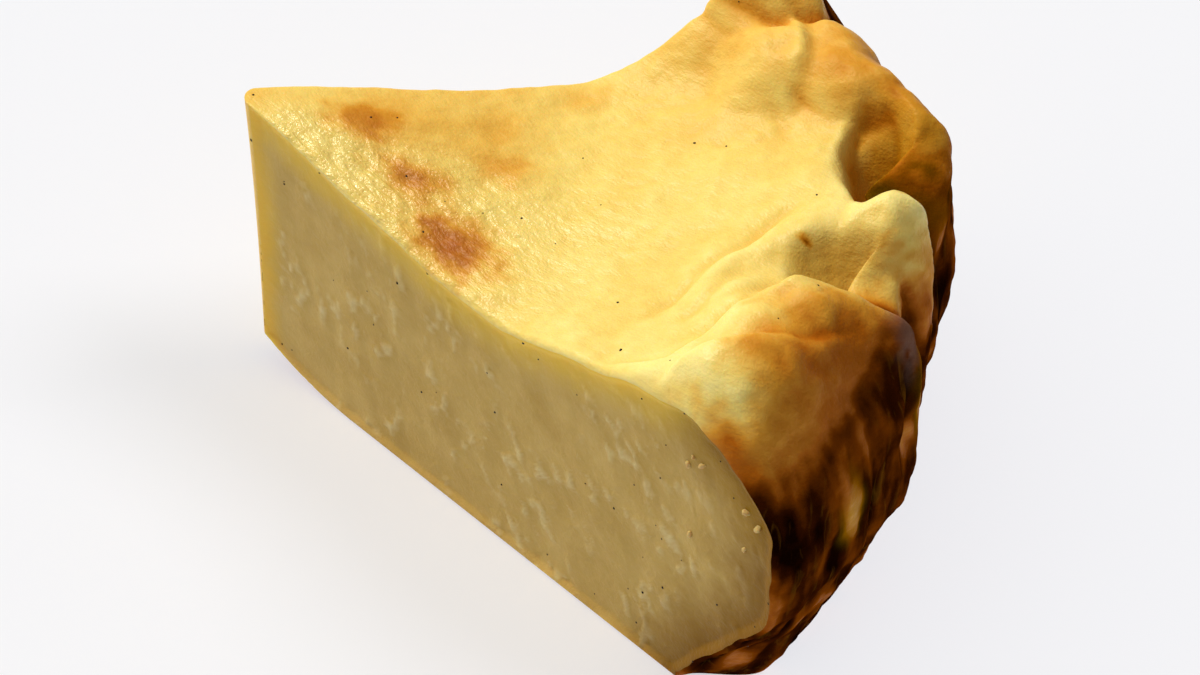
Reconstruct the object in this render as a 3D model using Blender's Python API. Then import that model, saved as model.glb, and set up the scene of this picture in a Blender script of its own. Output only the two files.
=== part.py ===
"""A slice of basque burnt cheesecake, as one solid.

The slice is a wedge of a round cake, cut from the cake's axis to its crust. Its skin is
worked out in polar terms about that axis: a distance out, an angle across the slice and
a height. The origin is on the flat base, on the slice's mid-line, half the tin's radius
from the tip. +X runs to the crust and +Z up, and the near cut faces -Y.
"""

import math

import bmesh
import bpy
import numpy as np

MM = 0.001

# The tin and the cuts
TIN_RADIUS = 100.0 * MM
HALF_ANGLE = 29.0

# Heights of the top along a line from the tip to the rim
TIP_HEIGHT = 50.4 * MM
BASIN_HEIGHT = 43.3 * MM
BASIN_RADIUS = 48.5 * MM

# The rim at seven angles across the slice: its rise above the basin, its distance out, how
# far below it the wall begins, how straight the slope between them runs, and the wall's
# distance out between its ribs
RIM_ANGLES = (-29.0, -19.0, -11.0, -1.0, 9.0, 18.0, 29.0)
RIM_RISES = (8.0 * MM, 8.5 * MM, 8.5 * MM, 8.5 * MM, 8.6 * MM, 8.6 * MM, 14.4 * MM)
RIM_RADII = (87.0 * MM, 88.5 * MM, 91.5 * MM, 91.0 * MM, 92.5 * MM, 83.5 * MM, 77.5 * MM)
SHOULDER_DROPS = (12.0 * MM, 13.0 * MM, 14.0 * MM, 14.0 * MM, 16.0 * MM, 21.0 * MM, 30.0 * MM)
SHOULDER_POWERS = (1.3, 1.3, 1.2, 1.2, 1.3, 1.8, 2.0)
WALL_RADII = (96.5 * MM, 97.8 * MM, 99.9 * MM, 96.0 * MM, 97.0 * MM, 95.8 * MM, 92.5 * MM)

# The bottom corner, and how far it starts from the axis by the near cut and elsewhere
CORNER_HEIGHT = 25.0 * MM
CORNER_POWER = 0.8
FOOT_RADIUS = 93.5 * MM
CUT_FOOT_RADIUS = 85.5 * MM
CUT_FOOT_REACH = 6.0

# The tip, which is worn back at the top and lifts off the base below
TIP_WEAR = 2.2 * MM
TIP_FOOT_WEAR = 0.7 * MM
TIP_LIFT = 5.2 * MM
LIFT_REACH = 20.0 * MM
TIP_CALM = 6.0 * MM

# Ribs of puffed crust between the folds that the paper left: the angle of the near and
# far edge at the rim and at the foot, how far inside the rim it starts on top, how far it
# swells out at the rim, and the share of that left at the foot
RIBS = (
    dict(near=(-50.0, -50.0), far=(-10.8, -4.0), reach=7.5 * MM, swell=4.8 * MM, foot=1.0),
    dict(near=(-4.6, -5.0), far=(3.0, 1.6), reach=3.5 * MM, swell=2.6 * MM, foot=0.9),
    dict(near=(3.0, 2.0), far=(16.0, 14.0), reach=0.0 * MM, swell=3.6 * MM, foot=1.1),
    dict(near=(11.5, 12.0), far=(23.0, 22.5), reach=8.0 * MM, swell=4.4 * MM, foot=0.6),
    dict(near=(23.0, 22.5), far=(42.0, 42.0), reach=8.0 * MM, swell=3.8 * MM, foot=0.3),
)
RIB_RISE = 5.0 * MM
MELT = 0.8 * MM

# Rounded mounds and hollows: distance out, angle, half length out, half width across,
# and height, which is negative for a hollow
MOUNDS = (
    dict(out=88.0 * MM, angle=-14.9, length=6.5 * MM, width=5.4 * MM, height=4.4 * MM),
    dict(out=79.5 * MM, angle=-15.5, length=6.0 * MM, width=6.5 * MM, height=2.0 * MM),
    dict(out=73.0 * MM, angle=-11.0, length=5.0 * MM, width=8.5 * MM, height=1.0 * MM),
    dict(out=75.0 * MM, angle=19.5, length=9.0 * MM, width=9.0 * MM, height=2.4 * MM),
    dict(out=66.0 * MM, angle=30.0, length=15.0 * MM, width=9.0 * MM, height=-2.2 * MM),
    dict(out=91.5 * MM, angle=-8.0, length=9.5 * MM, width=7.6 * MM, height=-6.0 * MM),
    dict(out=91.0 * MM, angle=5.6, length=8.0 * MM, width=7.5 * MM, height=-6.5 * MM),
)

# Brinks, where one fold overlaps the next. Each point of the line is a distance along the
# skin in mm, an angle, and the height there in mm, negative where it falls away. The
# slopes to the line's left and right have their own reach.
BRINKS = (
    dict(
        line=((85.0, -17.4, 0.0), (88.6, -14.8, 2.0), (92.8, -13.4, 0.8), (97.5, -11.2, 2.6),
              (106.0, -8.0, 2.2), (122.0, -5.0, 0.0)),
        left=2.2 * MM,
        right=4.0 * MM,
    ),
    dict(
        line=((80.0, -29.5, 0.6), (87.0, -24.6, 2.4), (91.2, -20.2, 0.8)),
        left=2.0 * MM,
        right=6.0 * MM,
    ),
    dict(
        line=((90.2, 2.0, 0.4), (92.5, 1.0, 1.4), (100.0, -1.8, 1.4), (107.0, -2.6, 1.4),
              (128.0, -4.0, 0.0)),
        left=2.2 * MM,
        right=4.0 * MM,
    ),
    dict(
        line=((78.5, 25.5, 0.4), (79.8, 20.0, 1.8), (77.0, 14.6, 0.8)),
        left=2.2 * MM,
        right=8.0 * MM,
    ),
    dict(
        line=((88.5, 12.6, -0.6), (85.2, 7.4, -3.6), (86.4, 3.8, -3.6), (90.0, -1.0, 0.0)),
        left=7.0 * MM,
        right=2.2 * MM,
    ),
    dict(
        line=((93.0, 4.4, -1.6), (103.0, 1.8, -3.6), (111.0, 1.2, -2.6), (124.0, 0.5, 0.0)),
        left=2.4 * MM,
        right=2.2 * MM,
    ),
)

# Creases pressed into the skin: where each starts and ends, as a distance along the skin
# and an angle, with its depth and half width
CREASES = (
    dict(start=(72.5 * MM, -11.0), end=(80.0 * MM, -1.0), depth=1.4 * MM, width=1.4 * MM),
    dict(start=(70.5 * MM, -19.5), end=(73.6 * MM, -10.0), depth=1.1 * MM, width=1.4 * MM),
    dict(start=(76.0 * MM, -18.5), end=(83.5 * MM, -12.5), depth=1.2 * MM, width=1.4 * MM),
    dict(start=(72.0 * MM, 28.5), end=(80.5 * MM, 21.0), depth=2.2 * MM, width=1.8 * MM),
    dict(start=(100.0 * MM, -19.0), end=(135.0 * MM, -17.0), depth=1.0 * MM, width=1.6 * MM),
    dict(start=(108.0 * MM, -23.5), end=(140.0 * MM, -22.0), depth=0.8 * MM, width=1.5 * MM),
    dict(start=(100.0 * MM, -13.5), end=(130.0 * MM, -11.0), depth=0.8 * MM, width=1.5 * MM),
)

# How many rows of faces each stretch of the skin has, and how many columns there are
# across the slice. The rows of the top close up towards the rim.
TOP_ROWS = 34
SHOULDER_ROWS = 12
WALL_ROWS = 9
CORNER_ROWS = 7
LIFT_ROWS = 4
TIP_ROWS = 5
COLUMNS = 72
CROWDING = 1.4


def smooth(x):
    """A step from 0 to 1 with level ends."""
    x = np.clip(x, 0.0, 1.0)
    return x * x * (3.0 - 2.0 * x)


def at_rim(values, angle):
    """One of the rim's measures at any angle, eased from each of its angles to the next."""
    index = np.clip(np.searchsorted(RIM_ANGLES, angle, side="right") - 1, 0, len(RIM_ANGLES) - 2)
    start = np.take(RIM_ANGLES, index)
    share = smooth((angle - start) / (np.take(RIM_ANGLES, index + 1) - start))
    return np.take(values, index) * (1.0 - share) + np.take(values, index + 1) * share


def top_height(out, angle):
    """Height of the top before its folds: it dips from the tip to the basin, then climbs to the rim."""
    dip = (TIP_HEIGHT - BASIN_HEIGHT) * smooth(out / BASIN_RADIUS)
    climb = smooth((out - BASIN_RADIUS) / (at_rim(RIM_RADII, angle) - BASIN_RADIUS))
    return TIP_HEIGHT - dip + at_rim(RIM_RISES, angle) * climb


def tip_start(wear, angle):
    """Distance out of the tip's rounded edge, which meets both cuts smoothly."""
    half = math.radians(HALF_ANGLE)
    radius = wear / (1.0 / math.sin(half) - 1.0)
    centre = radius / math.sin(half)
    inside = np.maximum(radius**2 - (centre * np.sin(np.radians(angle))) ** 2, 0.0)
    return centre * np.cos(np.radians(angle)) - np.sqrt(inside)


def bare_skin(angle):
    """The skin at these angles, before its folds, from the top of the tip out, down the wall and back.

    Returns the distance out, the height, and the way along the skin of each row.
    """
    angle = np.asarray(angle)[None, :]
    level = np.ones_like(angle)
    start = tip_start(TIP_WEAR, angle)

    step = np.linspace(0.0, 1.0, TOP_ROWS + 1)[:, None]
    rim = at_rim(RIM_RADII, angle)
    drop = at_rim(SHOULDER_DROPS, angle)
    power = at_rim(SHOULDER_POWERS, angle)
    wall = at_rim(WALL_RADII, angle)
    out = start + (rim - start) * (1.0 - (1.0 - step) ** CROWDING)
    height = top_height(out, angle)

    turn = np.linspace(0.0, math.pi / 2, SHOULDER_ROWS + 1)[1:, None]
    wall_top = height[-1:] - drop
    shoulder_out = rim + (wall - rim) * np.sin(turn) ** power
    shoulder_height = wall_top + drop * np.maximum(np.cos(turn), 0.0) ** power

    step = np.linspace(0.0, 1.0, WALL_ROWS + 1)[1:, None]
    wall_out = wall * np.ones_like(step)
    wall_height = wall_top + (CORNER_HEIGHT - wall_top) * step

    step = np.linspace(1.0, 0.0, CORNER_ROWS + 1)[1:, None]
    beside_cut = 1.0 - smooth((angle + HALF_ANGLE) / CUT_FOOT_REACH)
    foot = FOOT_RADIUS + (CUT_FOOT_RADIUS - FOOT_RADIUS) * beside_cut
    corner_out = foot + (wall - foot) * step**CORNER_POWER
    corner_height = CORNER_HEIGHT * step * level

    step = np.linspace(1.0, 0.0, LIFT_ROWS + 1)[:, None]
    tip_foot = tip_start(TIP_FOOT_WEAR, angle)
    lift_out = tip_foot + (LIFT_REACH - tip_foot) * step
    lift_height = TIP_LIFT * (1.0 - step) ** 2 * level

    step = np.linspace(0.0, 1.0, TIP_ROWS + 1)[1:, None]
    tip_height = TIP_LIFT + (height[:1] - TIP_LIFT) * step
    tip_out = tip_start(TIP_FOOT_WEAR + (TIP_WEAR - TIP_FOOT_WEAR) * np.sin(math.pi / 2 * step), angle)

    out = np.vstack((out, shoulder_out, wall_out, corner_out, lift_out, tip_out))
    height = np.vstack((height, shoulder_height, wall_height, corner_height, lift_height, tip_height))
    steps = np.hypot(np.diff(out, axis=0), np.diff(height, axis=0))
    along = start + np.vstack((np.zeros_like(angle), np.cumsum(steps, axis=0)))
    return out, height, along


def soft_max(one, other):
    """The higher of two heights, melted into each other where they are nearly equal."""
    melt = np.clip(np.maximum(one, other), 0.001 * MM, MELT)
    share = np.clip(0.5 + 0.5 * (one - other) / melt, 0.0, 1.0)
    return one * share + other * (1.0 - share) + melt * share * (1.0 - share)


def rib(along, angle, bottom, near, far, reach, swell, foot):
    """How far one rib of crust stands out: round between its folds, and round where it starts on top."""
    rim = at_rim(RIM_RADII, angle)
    down = np.clip((along - rim) / (bottom - rim), 0.0, 1.0)
    left = near[0] + (near[1] - near[0]) * down
    right = far[0] + (far[1] - far[0]) * down
    across = np.abs(2.0 * (angle - left) / (right - left) - 1.0)
    arch = np.sqrt(np.maximum(1.0 - across**2.4, 0.0))
    rise = np.clip((along - rim + reach) / (reach + RIB_RISE), 0.0, 1.0)
    begin = np.sqrt(1.0 - (1.0 - rise) ** 2)
    return swell * arch * begin * (1.0 - (1.0 - foot) * down)


def mound(along, across, out, angle, length, width, height):
    """How far a mound stands out of the skin, or a hollow sinks in."""
    side = np.radians(across - angle) * out
    inside = 1.0 - ((along - out) / length) ** 2 - (side / width) ** 2
    return height * np.maximum(inside, 0.0) ** 1.5


def brink(along, angle, line, left, right):
    """Height of a brink: greatest on its line, with a slope of its own on either side."""
    scale = np.radians(1.0) * RIM_RADII[0]
    across = angle * scale
    nearest = np.full_like(along, 1.0)
    height = np.zeros_like(along)
    side = np.zeros_like(along)
    for point, following in zip(line, line[1:]):
        start = np.array((point[0] * MM, point[1] * scale))
        run = np.array((following[0] * MM, following[1] * scale)) - start
        held = np.clip(((along - start[0]) * run[0] + (across - start[1]) * run[1]) / run.dot(run), 0.0, 1.0)
        off_along = along - start[0] - held * run[0]
        off_across = across - start[1] - held * run[1]
        away = np.hypot(off_along, off_across)
        closer = away < nearest
        nearest = np.where(closer, away, nearest)
        height = np.where(closer, point[2] + (following[2] - point[2]) * held, height)
        side = np.where(closer, (run[0] * off_across - run[1] * off_along) / math.hypot(*run), side)
    reach = right + (left - right) * smooth(0.5 + side / (1.2 * MM))
    return height * MM * np.exp(-((nearest / reach) ** 2.4))


def crease(along, angle, start, end, depth, width):
    """How deep a crease is pressed in, deepest midway between its ends."""
    scale = np.radians(1.0) * RIM_RADII[0]
    ends = np.array(((start[0], start[1] * scale), (end[0], end[1] * scale)))
    run = ends[1] - ends[0]
    across = angle * scale
    share = ((along - ends[0, 0]) * run[0] + (across - ends[0, 1]) * run[1]) / run.dot(run)
    held = np.clip(share, 0.0, 1.0)
    away = np.hypot(along - ends[0, 0] - held * run[0], across - ends[0, 1] - held * run[1])
    return depth * np.exp(-((away / width) ** 1.3)) * (0.4 + 0.6 * np.sin(math.pi * held))


def folds(along, angle, bottom):
    """How far the skin stands out from the bare skin."""
    stands = np.zeros_like(along)
    for shape in RIBS:
        stands = soft_max(stands, rib(along, angle, bottom, **shape))
    raised = np.zeros_like(along)
    sunk = np.zeros_like(along)
    for shape in MOUNDS:
        made = mound(along, angle, **shape)
        raised = soft_max(raised, made)
        sunk = np.minimum(sunk, made)
    stands = soft_max(stands, raised) + sunk
    stands = stands + sum(brink(along, angle, **shape) for shape in BRINKS)
    stands = stands - sum(crease(along, angle, **shape) for shape in CREASES)
    return stands * smooth(along / TIP_CALM)


def skin(angle):
    """Points of the finished skin, as rows of (x, y, z), closed from the last row to the first."""
    out, height, along = bare_skin(angle)
    foot_row = TOP_ROWS + SHOULDER_ROWS + WALL_ROWS + CORNER_ROWS
    level = np.asarray(angle)[None, :] * np.ones_like(out)
    stands = folds(along, level, along[foot_row])
    stands[foot_row:] = 0.0
    corner = slice(foot_row - CORNER_ROWS, foot_row + 1)
    stands[corner] *= height[corner] / height[foot_row - CORNER_ROWS]
    run = np.gradient(out, axis=0)
    climb = np.gradient(height, axis=0)
    length = np.hypot(run, climb)
    out = out - stands * climb / length
    height = height + stands * run / length
    turn = np.radians(level)
    tip = -TIN_RADIUS / 2
    return np.stack((tip + out * np.cos(turn), out * np.sin(turn), height), axis=-1)


def make_slice(collection):
    """The slice: a grid bent round into its skin, then closed at both cuts."""
    angle = np.linspace(-HALF_ANGLE, HALF_ANGLE, COLUMNS + 1)
    points = skin(angle)
    rows = len(points)
    bpy.ops.mesh.primitive_grid_add(x_subdivisions=rows - 1, y_subdivisions=COLUMNS, size=1.0)
    piece = bpy.context.object
    piece.name = "cheesecake_slice"
    mesh = piece.data
    mesh.name = piece.name
    flat = np.empty(len(mesh.vertices) * 3)
    mesh.vertices.foreach_get("co", flat)
    flat = flat.reshape(-1, 3)
    row = np.rint((flat[:, 0] + 0.5) * (rows - 1)).astype(int)
    column = np.rint((flat[:, 1] + 0.5) * COLUMNS).astype(int)
    mesh.vertices.foreach_set("co", points[row, column].ravel())

    shape = bmesh.new()
    shape.from_mesh(mesh)
    bmesh.ops.remove_doubles(shape, verts=shape.verts, dist=0.002 * MM)
    open_edges = [edge for edge in shape.edges if edge.is_boundary]
    cuts = bmesh.ops.holes_fill(shape, edges=open_edges, sides=0)["faces"]
    bmesh.ops.triangulate(shape, faces=cuts, ngon_method="BEAUTY")
    bmesh.ops.recalc_face_normals(shape, faces=shape.faces)
    shape.to_mesh(mesh)
    shape.free()
    mesh.shade_smooth()
    mesh.set_sharp_from_angle(angle=math.radians(40))
    for owner in list(piece.users_collection):
        owner.objects.unlink(piece)
    collection.objects.link(piece)
    return piece


def make_material(name, colour, roughness):
    material = bpy.data.materials.new(name)
    material.use_nodes = True
    shader = material.node_tree.nodes["Principled BSDF"]
    shader.inputs["Base Color"].default_value = (*colour, 1.0)
    shader.inputs["Roughness"].default_value = roughness
    shader.inputs["Metallic"].default_value = 0.0
    return material


def main():
    for old in list(bpy.data.objects):
        bpy.data.objects.remove(old, do_unlink=True)
    collection = bpy.data.collections.new("basque_burnt_cheesecake")
    bpy.context.scene.collection.children.link(collection)
    piece = make_slice(collection)
    piece.data.materials.append(make_material("baked_custard", (0.83, 0.60, 0.22), 0.45))


main()
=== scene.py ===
import math

import bmesh
import bpy
import numpy as np
from mathutils import Matrix, Vector, noise


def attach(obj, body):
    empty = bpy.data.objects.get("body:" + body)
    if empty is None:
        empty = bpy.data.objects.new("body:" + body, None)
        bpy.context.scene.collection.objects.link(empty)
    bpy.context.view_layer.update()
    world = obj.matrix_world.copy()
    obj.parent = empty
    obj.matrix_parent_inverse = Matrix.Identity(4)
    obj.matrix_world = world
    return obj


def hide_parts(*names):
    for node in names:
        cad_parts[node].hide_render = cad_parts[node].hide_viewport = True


mm = 0.001

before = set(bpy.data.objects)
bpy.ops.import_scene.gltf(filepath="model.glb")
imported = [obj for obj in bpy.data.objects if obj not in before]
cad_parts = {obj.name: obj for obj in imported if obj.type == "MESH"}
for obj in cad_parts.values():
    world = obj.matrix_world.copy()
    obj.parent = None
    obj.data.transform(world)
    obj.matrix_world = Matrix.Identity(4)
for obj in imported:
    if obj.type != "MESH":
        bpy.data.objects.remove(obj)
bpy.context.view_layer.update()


# plain helpers

def smooth(x):
    x = np.clip(x, 0.0, 1.0)
    return x * x * (3.0 - 2.0 * x)


def between(x, start, end):
    # 0 up to start, 1 from end, eased in between
    return smooth((x - start) / (end - start))


def bell(x):
    return np.exp(-x * x)


def softMax(a, b, width):
    width = np.clip(np.maximum(a, b), 0.001, width)
    share = np.clip(0.5 + 0.5 * (a - b) / width, 0.0, 1.0)
    return a * share + b * (1.0 - share) + width * share * (1.0 - share)


def eased(field, times):
    # a light blur down and across the sheet
    for axis in (0, 1) * times:
        padded = np.concatenate((field.take([0], axis), field, field.take([-1], axis)), axis)
        count = field.shape[axis]
        field = sum(w * padded.take(range(k, k + count), axis) for k, w in enumerate((0.25, 0.5, 0.25)))
    return field


def grain(points, size, octaves=1, seed=0.0):
    # noise from about -1 to 1 whose lumps are about size across, in the points' own unit
    size = np.asarray(size, dtype=float) * np.ones(3)
    flat = (points.reshape(-1, 3) / size + seed).tolist()
    total, strength = 0.0, 1.0
    for octave in range(octaves):
        scale = 2.03**octave
        values = [noise.noise((x * scale, y * scale, z * scale)) for x, y, z in flat]
        total = total + strength * np.array(values)
        strength *= 0.5
    return total.reshape(points.shape[:-1])


def deselectAll():
    if bpy.context.object and bpy.context.object.mode != "OBJECT":
        bpy.ops.object.mode_set(mode="OBJECT")
    bpy.ops.object.select_all(action="DESELECT")


# the slice's skin, in polar terms about the cake's axis, which is the tip
# distances and heights are in mm here, angles in degrees across the slice

sliceShape = dict(
    tinRadius=100.0,
    halfAngle=29.0,
    tipHeight=50.4, basinHeight=43.3, basinRadius=48.5,      # the top dips, then climbs to the rim
    rimAngles=(-29.0, -19.0, -11.0, -1.0, 9.0, 18.0, 29.0),
    rimRises=(8.0, 8.5, 8.5, 8.5, 9.0, 8.6, 14.0),           # above the basin
    rimRadii=(87.0, 88.5, 91.5, 91.0, 92.5, 83.5, 77.5),
    shoulderDrops=(12.0, 13.0, 14.0, 14.0, 16.0, 21.0, 30.0),
    shoulderPowers=(1.3, 1.3, 1.2, 1.2, 1.3, 1.8, 2.0),      # 1 is round, 2 is straight
    wallRadii=(96.5, 97.5, 98.5, 94.6, 95.2, 94.6, 92.2),
    cornerHeight=25.0, cornerPower=0.8,
    footRadius=93.5, cutFootRadius=85.5, cutFootReach=6.0,
    tipWear=2.2, tipFootWear=0.7, tipLift=5.2, liftReach=20.0,
)

# how far from the axis degrees across the slice are turned to mm, for each kind of mark
arcs = dict(creases=87.0, foldEdges=88.0, spots=90.0, wall=96.0, wallSpots=98.0)

# ribs of puffed crust between the folds that the paper left
ribs = [
    dict(near=(-31.5, -50.0), far=(-10.8, -4.0), reach=7.5, swell=4.8, foot=1.0),
    dict(near=(-4.6, -5.0), far=(3.0, 1.6), reach=3.5, swell=2.6, foot=0.9),
    dict(near=(3.0, 2.0), far=(16.0, 14.0), reach=0.0, swell=3.6, foot=1.1),
    dict(near=(11.5, 12.0), far=(23.0, 22.5), reach=8.0, swell=4.4, foot=0.6),
    dict(near=(23.0, 22.5), far=(42.0, 42.0), reach=8.0, swell=3.8, foot=0.3),
]
ribForm = dict(
    roundness=2.4,                             # 2 is an ellipse across the rib, more is squarer
    rise=5.0,                                  # mm past the rim where a rib has its full height
    smoothedByCut=3.5, reachByCut=10.0,        # degrees and mm over which the knife smoothed the near edge
)
meltWidth = 0.8         # how far one fold melts into the next, in mm

# rounded mounds, and hollows where the height is negative
mounds = [
    dict(out=88.0, angle=-14.9, length=6.5, width=5.4, height=4.4),       # the knob, and its foothills
    dict(out=79.5, angle=-15.5, length=6.0, width=6.5, height=2.0),
    dict(out=73.0, angle=-11.0, length=5.0, width=8.5, height=1.0),
    dict(out=75.0, angle=19.5, length=9.0, width=9.0, height=2.4),        # the bump at the far rim
    dict(out=90.0, angle=-31.0, length=17.0, width=6.5, height=-4.4),     # the rim droops over the near cut
    dict(out=91.5, angle=-8.0, length=9.5, width=7.6, height=-6.0),       # the valley
    dict(out=91.0, angle=5.6, length=8.0, width=7.5, height=-6.5),        # the pocket
]

creases = [
    dict(start=(72.5, -11.0), end=(80.0, -1.0), depth=1.6, width=1.2),
    dict(start=(70.5, -19.5), end=(73.6, -10.0), depth=1.3, width=1.2),
    dict(start=(76.0, -19.0), end=(78.5, -12.0), depth=1.1, width=1.1),
    dict(start=(88.5, -18.6), end=(86.6, -16.8), depth=1.0, width=1.0),
    dict(start=(76.0, -18.5), end=(83.5, -12.5), depth=0.7, width=1.2),
    dict(start=(72.0, 28.5), end=(80.5, 21.0), depth=2.4, width=1.7),
    dict(start=(66.5, 11.5), end=(68.5, 9.5), depth=0.5, width=0.8),
    dict(start=(73.5, 15.5), end=(77.0, 9.5), depth=0.6, width=1.2),
    dict(start=(100.0, -19.0), end=(135.0, -17.0), depth=1.0, width=1.6),
    dict(start=(108.0, -23.5), end=(140.0, -22.0), depth=0.8, width=1.4),
    dict(start=(100.0, -13.5), end=(130.0, -11.0), depth=0.8, width=1.5),
]

# edges where a fold overlaps the next: the line's points (along the skin, angle) and the height on it,
# with the reach of its left and right slope in mm
foldEdges = [
    # back of the near lobe
    dict(left=1.0, right=4.0,
         line=[(85.0, -17.4, 0.0), (87.0, -16.2, 1.4), (88.6, -14.8, 2.4), (90.4, -13.4, 2.0),
               (92.8, -13.4, 0.6), (95.0, -12.7, 1.2), (97.5, -11.2, 2.1), (102.0, -9.2, 1.7),
               (112.0, -6.5, 1.2), (122.0, -5.0, 0.0)]),
    # lip over the near cut
    dict(left=0.8, right=6.0,
         line=[(82.6, -28.8, 0.3), (84.6, -27.0, 2.0), (87.0, -24.6, 3.1), (90.0, -22.4, 2.7),
               (91.2, -20.2, 1.2)]),
    # back of the thumb
    dict(left=1.1, right=4.0,
         line=[(90.2, 2.0, 0.4), (92.5, 1.0, 1.6), (96.0, -0.6, 1.2), (100.0, -1.8, 1.4),
               (107.0, -2.6, 1.8), (118.0, -3.5, 1.4), (128.0, -4.0, 0.0)]),
    # pale bump at the far rim
    dict(left=1.2, right=8.0,
         line=[(78.5, 25.5, 0.4), (79.6, 22.6, 1.6), (79.8, 20.0, 2.0), (79.0, 17.2, 1.8),
               (77.0, 14.6, 1.0), (75.0, 12.5, 0.2)]),
    # brink of the pocket
    dict(left=7.0, right=0.8,
         line=[(88.5, 12.6, -0.6), (86.2, 10.2, -3.0), (85.2, 7.4, -4.2), (86.4, 3.8, -4.2),
               (88.6, 0.8, -2.8), (90.0, -1.0, 0.0)]),
    # far wall of the pocket
    dict(left=5.0, right=2.0,
         line=[(88.0, 12.6, 0.8), (91.0, 12.2, 1.6), (94.4, 10.2, 1.0), (97.4, 7.8, 0.6),
               (100.0, 6.2, 0.6), (108.0, 5.0, 0.0)]),
    # channel down from the pocket
    dict(left=2.0, right=1.8,
         line=[(93.0, 4.4, -2.0), (97.5, 3.0, -4.0), (103.0, 1.8, -4.2), (111.0, 1.2, -3.0),
               (124.0, 0.5, 0.0)]),
    # brow of the valley
    dict(left=3.6, right=2.6,
         line=[(75.0, -17.5, 0.2), (74.6, -12.5, 0.9), (76.4, -8.2, 1.3), (82.0, -4.8, 1.5),
               (86.0, -2.6, 1.1), (89.0, -0.8, 0.4)]),
    # two small puffs before the knob
    dict(left=0.7, right=3.6,
         line=[(80.0, -19.0, 0.0), (83.0, -17.8, 1.2), (86.4, -16.2, 1.2), (87.4, -15.8, 0.0)]),
    dict(left=3.0, right=3.0,
         line=[(82.0, -22.6, 0.2), (85.0, -20.2, 1.4), (88.0, -18.9, 1.0), (89.5, -18.0, 0.2)]),
]

sliceMesh = dict(
    topRows=150, shoulderRows=46, wallRows=44, cornerRows=56,   # rows of faces down each stretch
    crustRows=30,                                               # rows of the shoulder that are burnt crust
    columns=168,                                                # and across the slice
    edgeColumns=5, edgeRound=0.9, edgeFade=16.0,                # close to a cut, where the edge is rounded
    rimCrowding=1.35,                                           # rows of the top close up towards the rim
    joined=0.004,                                               # points closer than this are merged, in mm
    tipReach=14.0, tipJoined=0.2,                               # and so near the tip, closer than this
)


def atRim(values, angle):
    angles = sliceShape["rimAngles"]
    index = np.clip(np.searchsorted(angles, angle, side="right") - 1, 0, len(angles) - 2)
    start = np.take(angles, index)
    share = smooth((angle - start) / (np.take(angles, index + 1) - start))
    return np.take(values, index) * (1.0 - share) + np.take(values, index + 1) * share


def topHeight(out, angle):
    s = sliceShape
    dip = (s["tipHeight"] - s["basinHeight"]) * smooth(out / s["basinRadius"])
    climb = smooth((out - s["basinRadius"]) / (atRim(s["rimRadii"], angle) - s["basinRadius"]))
    return s["tipHeight"] - dip + atRim(s["rimRises"], angle) * climb


def tipStart(wear, angle):   # the worn tip is round, and meets both cuts smoothly
    half = math.radians(sliceShape["halfAngle"])
    radius = wear / (1.0 / math.sin(half) - 1.0)
    centre = radius / math.sin(half)
    inside = np.maximum(radius**2 - (centre * np.sin(np.radians(angle))) ** 2, 0.0)
    return centre * np.cos(np.radians(angle)) - np.sqrt(inside)


def columnAngles(out):
    # angles of the columns at each distance from the tip: even, but for a few that follow the rounded edge
    s, m = sliceShape, sliceMesh
    n = m["edgeColumns"]
    turn = np.linspace(0.0, math.pi / 2, n + 1)
    size = m["edgeRound"] * np.minimum(1.0, out / m["edgeFade"])
    inset = np.degrees(size * (1.0 - np.cos(turn)) / np.maximum(out, 1e-6))
    left = -s["halfAngle"] + inset
    middle = left[..., -1:] + (-2.0 * left[..., -1:]) * np.linspace(0.0, 1.0, m["columns"] + 1)[1:-1]
    angles = np.concatenate((left, middle, -left[..., ::-1]), axis=-1)
    drop = size * (1.0 - np.sin(turn))
    sunk = np.concatenate((drop, np.zeros_like(middle), drop[..., ::-1]), axis=-1)
    return angles, sunk


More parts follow.
